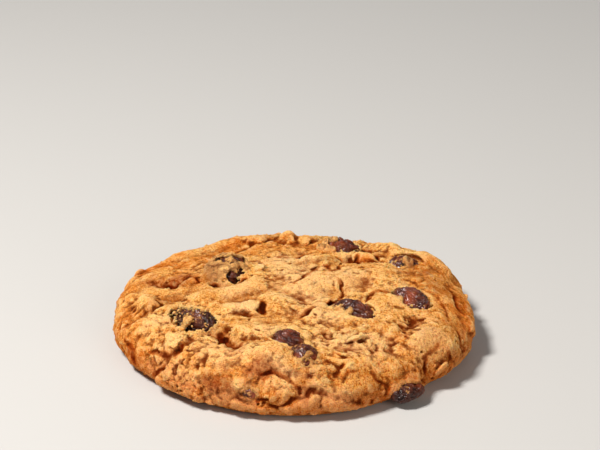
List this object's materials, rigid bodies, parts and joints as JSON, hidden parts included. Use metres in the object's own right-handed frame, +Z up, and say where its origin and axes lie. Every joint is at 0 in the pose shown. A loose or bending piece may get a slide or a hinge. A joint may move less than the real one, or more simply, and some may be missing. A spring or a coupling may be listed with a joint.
{
  "type": "oatmeal raisin cookie",
  "caption": "Round baked cookie with a lumpy, cracked top, a rounded uneven edge, a flat underside and raisins sunk in the dough.",
  "frame": {"origin": "on the flat underside, below the middle of the round outline", "axes": "+Z up out of the top; -Y towards the side with the jutting lump and the raisin under the edge; +X to the right seen from that side"},
  "size_m": [0.0864, 0.0908, 0.016],
  "materials": {
    "baked_dough": "matt, porous golden-brown crumb",
    "raisin": "satin, wrinkled dark skin"
  },
  "bodies": {
    "root": {"cookie_dough": "baked_dough", "raisin_upper_left": "raisin", "raisin_left": "raisin", "raisin_front": "raisin", "raisin_front_tail": "raisin", "raisin_middle_bent": "raisin", "raisin_right": "raisin", "raisin_upper_right": "raisin", "raisin_back": "raisin", "raisin_under_edge": "raisin", "raisin_edge_small": "raisin"}
  },
  "joints": []
}
